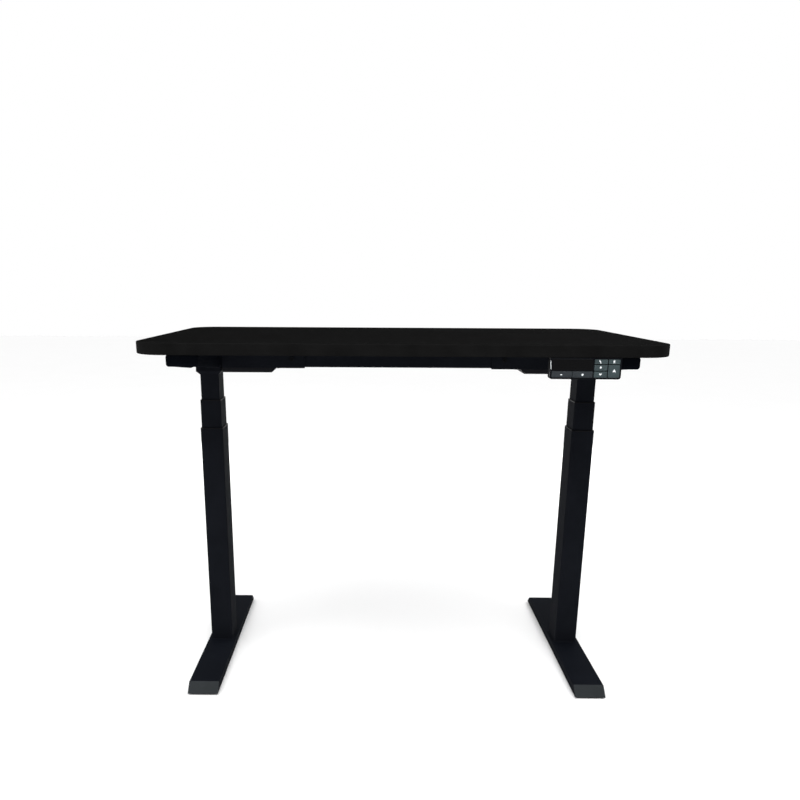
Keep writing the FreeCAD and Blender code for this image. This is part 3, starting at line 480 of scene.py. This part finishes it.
def make_keys(materials):
    """The seven keys, each with a plain white symbol of its own."""
    symbols = {
        "memory_key_one": [arc((-1.1, -1.5), 2.2, 0, 180, 12)],
        "memory_key_two": [disc((0, -0.5), 2.1)],
        "memory_key_three": [bar((-4.0, 3.0), (-1.2, -1.6), 1.9),
                             [(-2.6, -2.8), (-0.2, -2.8), (-0.2, -1.2), (-2.0, -1.2)]],
        "memory_key_four": [disc((-0.9, 1.3), 1.8), bar((-2.9, -1.5), (1.1, -1.5), 1.1)],
        "set_key": [disc((-0.6, 0.8), 2.05), [(-3.6, -0.2), (-1.8, -0.4), (-1.8, 1.2)]],
        "down_key": [[(-2.7, 2.7), (-2.7, 0.4), (-0.3, -2.0), (2.1, 0.4), (2.1, 2.7), (-0.3, 1.5)]],
        "up_key": [[(-2.1, -2.2), (-2.1, 0.6), (0.5, 4.6), (3.1, 0.6), (3.1, -2.2), (0.5, -0.6)]],
    }
    for name, shapes in symbols.items():
        dished_key(name, materials, "key_dark" if name in DARK_KEYS else "key")
        key_print(name, shapes, materials)


def make_window(materials):
    """The display's dark cover with a soft rim."""
    low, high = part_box("display_window")
    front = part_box("handset_panel")[0].y
    bm = bmesh.new()
    levels = [(0.0, front + 0.4 * MM), (0.0, front - 0.10 * MM), (0.25 * MM, front - 0.3 * MM),
              (0.8 * MM, front - 0.35 * MM)]
    rings = []
    for inset, y in levels:
        outline = rounded_rectangle(low.x + inset, high.x - inset, low.z + inset, high.z - inset,
                                    (WINDOW_CORNER,) * 4)
        rings.append([bm.verts.new((u, y, v)) for u, v in outline])
    join_loops(bm, rings)
    cap_loops(bm, rings)
    add_piece("display_cover", mesh_from("display_cover", bm, 50), materials["display"], "desktop")


STRIP_ROWS = 26
STRIP_SECTION = 8
STRIP_HALF = 0.62 * MM
STRIP_BOW = 1.1 * MM
STRIP_LOW = 1.0 * MM
STRIP_SHORT = 2.6 * MM


def make_edge_strip(materials):
    """A pale strip down the display's left edge, slender, tapered and slightly bowed: its near-white colour
    is a painted highlight.
    """
    low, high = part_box("display_window")
    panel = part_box("handset_panel")[0]
    left = panel.x + 0.9 * MM
    y = panel.y - 0.05 * MM
    bm = bmesh.new()
    loops = []
    for row in range(STRIP_ROWS + 1):
        share = row / STRIP_ROWS
        z = low.z + STRIP_LOW + (high.z - low.z - STRIP_SHORT) * share
        x = left + STRIP_BOW * (1 + math.cos(math.pi * share)) / 2
        taper = max(math.sin(math.pi * min(max(share, 0.02), 0.98)), 0.05)
        half = STRIP_HALF * math.sqrt(taper)
        turns = [math.tau * step / STRIP_SECTION for step in range(STRIP_SECTION)]
        loops.append([bm.verts.new((x + half * math.cos(turn), y + 0.4 * half * math.sin(turn), z))
                      for turn in turns])
    join_loops(bm, loops)
    cap_loops(bm, loops)
    add_piece("display_edge_strip", mesh_from("display_edge_strip", bm, 80), materials["strip"], "desktop")


# ---------------------------------------------------------------- softened sheet metal and mouldings
SOFTENED = {
    "foot": (0.8 * MM, "foot_paint", "frame_paint"),
    # the brackets take the darker copy of the powder coat, which is painted shade
    "bracket": (0.5 * MM, "bracket_painted_shade", "frame_paint"),
    "gearbox": (1.2 * MM, "cast", "cast_head"),
    "beam_channel": (0.8 * MM, "paint", "frame_paint"),
    "motor_cover": (0.6 * MM, "cover", "cover_plastic"),
    "middle_glide": (0.35 * MM, "glide", "glide_plastic"),
}
SOFTENED_SINGLE = {
    "beam_centre": (0.8 * MM, "paint", "frame_paint"),
    "outer_glides": (0.35 * MM, "glide", "glide_plastic"),
    "control_box": (0.6 * MM, "cover", "cover_plastic"),
    "control_box_lid": (0.6 * MM, "cover", "cover_plastic"),
    "handset_shell": (0.5 * MM, "shell", "cover_plastic"),
    "handset_panel": (0.25 * MM, "panel", "panel_gloss"),
}


def make_softened(materials):
    plan = {f"{side}_{name}": values for name, values in SOFTENED.items() for side in SIDES}
    plan.update(SOFTENED_SINGLE)
    for node, (width, material, slot) in plan.items():
        add_piece(node + "_soft", softened(node, width), materials[material], BODY_OF[node], [node])


NOSE_SUNK = 0.4 * MM
NOSE_THICK = 0.6 * MM
SLOPING = 0.3  # the least lean of a sloping face's normal, both along the foot and upwards


def make_noses(materials):
    """A smoother end plate on each sloping end of the feet, painted lighter than the feet: painted
    highlight for the light that the sloping face catches.
    """
    for side in SIDES:
        for end, sign in (("front", -1), ("rear", 1)):
            bm = bmesh.new()
            bm.from_mesh(nodes[side + "_foot"].data)
            bmesh.ops.remove_doubles(bm, verts=bm.verts, dist=1e-6)
            away = [face for face in bm.faces
                    if face.normal.y * sign <= SLOPING or face.normal.z <= SLOPING]
            bmesh.ops.delete(bm, geom=away, context="FACES")
            bmesh.ops.dissolve_limit(bm, angle_limit=math.radians(1), verts=bm.verts, edges=bm.edges)
            normal = bm.faces[:][0].normal.copy()
            bmesh.ops.translate(bm, vec=-normal * NOSE_SUNK, verts=bm.verts)
            grown = bmesh.ops.extrude_face_region(bm, geom=bm.faces[:])
            moved = [part for part in grown["geom"] if isinstance(part, bmesh.types.BMVert)]
            bmesh.ops.translate(bm, vec=normal * NOSE_THICK, verts=moved)
            name = f"{side}_{end}_nose"
            add_piece(name, mesh_from(name, bm), materials["nose"], "base")


# ---------------------------------------------------------------- the tabletop's edge band
BAND_PROUD = 0.15 * MM
BAND_EDGE = 2.5 * MM
BAND_CORNER = 65 * MM
BAND_WRAP = 62  # degrees of the edge's rounding that the band covers


def make_edge_band(materials):
    """A thin band glued round the board, with its own soft corners."""
    low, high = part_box("tabletop")
    profile = []
    for step in range(6):
        turn = math.radians(BAND_WRAP * (step / 5 - 1))
        profile.append((BAND_EDGE * (1 - math.cos(turn)), low.z + BAND_EDGE * (1 + math.sin(turn))))
    for step in range(6):
        turn = math.radians(BAND_WRAP * step / 5)
        profile.append((BAND_EDGE * (1 - math.cos(turn)), high.z - BAND_EDGE * (1 - math.sin(turn))))
    bm = bmesh.new()
    outer, inner = [], []
    for rows, lift in ((outer, BAND_PROUD), (inner, -BAND_PROUD)):
        for inset, z in profile:
            reach = lift - inset
            outline = rounded_rectangle(low.x - reach, high.x + reach, low.y - reach, high.y + reach,
                                        (BAND_CORNER + reach,) * 4, 24)
            rows.append([bm.verts.new((u, v, z)) for u, v in outline])
    closed = outer + inner[::-1]
    join_loops(bm, closed + closed[:1])
    add_piece("edge_band", mesh_from("edge_band", bm, 50), materials["band"], "desktop")


# ---------------------------------------------------------------- welds
def bead_along(bm, path, normals, radius, wobble, section=8):
    """A closed bead of weld along a loop, with the ripples that a welder leaves."""
    loops = []
    for index, (point, outward) in enumerate(zip(path, normals)):
        swell = radius * (1 + wobble * math.sin(index * 1.9) + 0.4 * wobble * math.sin(index * 0.7))
        loop = []
        for step in range(section):
            turn = math.tau * step / section
            loop.append(bm.verts.new(point + outward * swell * math.cos(turn)
                                     + Vector((0, 0, swell * math.sin(turn)))))
        loops.append(loop)
    join_loops(bm, loops + loops[:1])


WELD_RADIUS = 1.5 * MM
WELD_STEP = 1.3 * MM
WELD_RIPPLE = 0.14
TUBE_CORNER = 4 * MM


def make_welds(materials):
    """The bead round each outer tube, where it stands on the foot."""
    for side in SIDES:
        low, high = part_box(side + "_outer_tube")
        outline = rounded_rectangle(low.x, high.x, low.y, high.y, (TUBE_CORNER,) * 4)
        path, normals = [], []
        for index, (x, y) in enumerate(outline):
            nx, ny = outline[(index + 1) % len(outline)]
            length = math.hypot(nx - x, ny - y)
            count = max(1, round(length / WELD_STEP))
            outward = Vector(((ny - y) / length, -(nx - x) / length, 0))
            for step in range(count):
                share = step / count
                path.append(Vector((x + (nx - x) * share, y + (ny - y) * share, low.z + 0.2 * MM)))
                normals.append(outward)
        bm = bmesh.new()
        bead_along(bm, path, normals, WELD_RADIUS, WELD_RIPPLE)
        name = side + "_base_weld"
        add_piece(name, mesh_from(name, bm, 70), materials["paint"], "base")


# ---------------------------------------------------------------- clips and strain reliefs
def dome(bm, levels, steps=20):
    """A turned shape about Z from pairs of radius and height in millimetres."""
    loops = []
    for radius, z in levels:
        outline = arc((0, 0), radius, 0, 360 * (steps - 1) / steps, steps - 1)
        loops.append([bm.verts.new((x * MM, y * MM, z * MM)) for x, y in outline])
    join_loops(bm, loops)
    cap_loops(bm, loops)


CLIP_PLACES = ((347, -160, 12), (334, -105, 10), (308, 0, 20))  # x, y in mm and turn in degrees
CLIP_INSIDE = 2.35 * MM
CLIP_OUTSIDE = 3.5 * MM
CLIP_DROP = 3.4 * MM
CLIP_HALF_WIDE = 2.5 * MM
CLIP_EAR = 7 * MM
CLIP_EAR_THICK = 1.3 * MM
CLIP_SCREW_IN = 3.6 * MM
SCREW_HEAD = ((1.9, 0), (1.9, -0.5), (1.6, -0.9), (1.1, -1.2), (0.5, -1.3))


def clip_saddle(bm):
    """An arch under the cable with one ear beside it, hanging from the origin."""
    section = ([(-CLIP_OUTSIDE, 0)] + arc((0, -CLIP_DROP), CLIP_OUTSIDE, 180, 360, 12)
               + [(CLIP_OUTSIDE, 0), (CLIP_INSIDE, 0)] + arc((0, -CLIP_DROP), CLIP_INSIDE, 360, 180, 12)
               + [(-CLIP_INSIDE, 0)])
    prism_mesh(bm, section, -CLIP_HALF_WIDE, CLIP_HALF_WIDE, facing_user)
    tight, round_end = 0.4 * MM, 2.3 * MM
    ear = rounded_rectangle(CLIP_OUTSIDE - tight, CLIP_OUTSIDE + CLIP_EAR, -CLIP_HALF_WIDE, CLIP_HALF_WIDE,
                            (tight, round_end, round_end, tight))
    prism_mesh(bm, ear, -CLIP_EAR_THICK, 0)


def make_clips(materials):
    """Saddle clips, each with one screw, that hold the handset's cable under the board."""
    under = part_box("tabletop")[0].z
    head = Matrix.Translation((CLIP_OUTSIDE + CLIP_SCREW_IN, 0, -CLIP_EAR_THICK))
    for number, (x, y, turn) in enumerate(CLIP_PLACES, start=1):
        place = (Matrix.Translation((x * MM, y * MM, under))
                 @ Matrix.Rotation(math.radians(turn), 4, "Z"))
        bm = bmesh.new()
        clip_saddle(bm)
        bmesh.ops.transform(bm, matrix=place, verts=bm.verts)
        name = f"cable_clip_{number}"
        add_piece(name, mesh_from(name, bm, 40), materials["cover"], "desktop")
        bm = bmesh.new()
        dome(bm, SCREW_HEAD)
        bmesh.ops.transform(bm, matrix=place @ head, verts=bm.verts)
        name = f"cable_clip_screw_{number}"
        add_piece(name, mesh_from(name, bm, 50), materials["bolt"], "desktop")


SLEEVE_RIBS = ((4.2, 0), (4.2, 1.2), (3.5, 1.5), (3.5, 2.2), (3.9, 2.5), (3.9, 3.6), (3.4, 3.9), (3.4, 4.6),
               (3.7, 4.9), (3.7, 5.9), (3.2, 6.2), (3.2, 6.9), (3.4, 7.2), (3.3, 8.4), (2.75, 9.0))
THIN_SLEEVE = 0.85
# where each cable leaves, in mm, the way it leaves, and the sleeve's scale
CABLE_EXITS = {
    "left_motor": ((-291, 10, 729), (1, 0.03, 0), 1),
    "right_motor": ((291, 10, 729), (-1, 0.03, 0), 1),
    "box_left": ((-118, 80, 760), (-1, 0.02, 0), 1),
    "box_right": ((118, 80, 760), (1, 0.02, 0), 1),
    "box_handset": ((118, 118, 760), (1, 0, 0), THIN_SLEEVE),
    "handset": ((366, -281.5, 771), (0, 1, 0.06), THIN_SLEEVE),
}


def turned_to(along):
    """The turn that takes Z to a direction."""
    return Vector(along).to_track_quat("Z", "Y").to_matrix().to_4x4()


def make_strain_reliefs(materials):
    """Ribbed sleeves where the cables leave the covers, the control box and the handset."""
    for exit_name, (place, along, scale) in CABLE_EXITS.items():
        bm = bmesh.new()
        dome(bm, [(radius * scale, height * scale) for radius, height in SLEEVE_RIBS], 24)
        bmesh.ops.transform(bm, matrix=Matrix.Translation(Vector(place) * MM) @ turned_to(along),
                            verts=bm.verts)
        name = exit_name + "_strain_relief"
        add_piece(name, mesh_from(name, bm, 40), materials["rubber"], "desktop")


# ---------------------------------------------------------------- the control box's details
SLOTS = 14
SLOT_START = 135 * MM
SLOT_PITCH = 5.5 * MM
SLOT_WIDE = 2.4 * MM
SLOT_LOW = 9 * MM
SLOT_HIGH = 27 * MM
LABEL_HALF_LONG = 38 * MM
LABEL_HALF_WIDE = 20 * MM
LAMP_IN = 100 * MM
LAMP_UP = 18 * MM
LAMP_LENS = ((2.2, 0), (2.2, -0.5), (1.7, -1.1), (0.9, -1.5))


def make_box_details(materials):
    """Cooling slots drawn as near-black bars of painted shade, a plain label and a status lamp on the
    control box.
    """
    low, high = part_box("control_box")
    bm = bmesh.new()
    for number in range(SLOTS):
        x = low.x + SLOT_START + number * SLOT_PITCH
        outline = rounded_rectangle(x, x + SLOT_WIDE, low.z + SLOT_LOW, low.z + SLOT_HIGH,
                                    (1.1 * MM,) * 4, 4)
        prism_mesh(bm, outline, high.y - 0.5 * MM, high.y + 0.4 * MM, facing_user)
    # the slots are solid bars in the near-black display finish: painted shade for the dark inside the
    # openings
    add_piece("control_box_slot_shade", mesh_from("control_box_slot_shade", bm), materials["display"], "desktop")

    bm = bmesh.new()
    middle = (low + high) / 2
    label = rounded_rectangle(middle.x - LABEL_HALF_LONG, middle.x + LABEL_HALF_LONG,
                              middle.y - LABEL_HALF_WIDE, middle.y + LABEL_HALF_WIDE, (3 * MM,) * 4)
    prism_mesh(bm, label, low.z - 0.15 * MM, low.z + 0.3 * MM)
    add_piece("control_box_label", mesh_from("control_box_label", bm), materials["label"], "desktop")

    bm = bmesh.new()
    dome(bm, LAMP_LENS)
    place = Matrix.Translation((low.x + LAMP_IN, low.y + 0.3 * MM, low.z + LAMP_UP))
    bmesh.ops.transform(bm, matrix=place @ turned_to((0, -1, 0)) @ Matrix.Scale(-1, 4, (0, 0, 1)),
                        verts=bm.verts)
    add_piece("control_box_lamp", mesh_from("control_box_lamp", bm, 50), materials["lamp"], "desktop")


def make_pieces(materials):
    make_softened(materials)
    make_noses(materials)
    make_edge_band(materials)
    make_keys(materials)
    make_window(materials)
    make_edge_strip(materials)
    make_welds(materials)
    make_clips(materials)
    make_strain_reliefs(materials)
    make_box_details(materials)


make_stage()
MATERIALS = make_materials()
paint_nodes(MATERIALS)
make_pieces(MATERIALS)
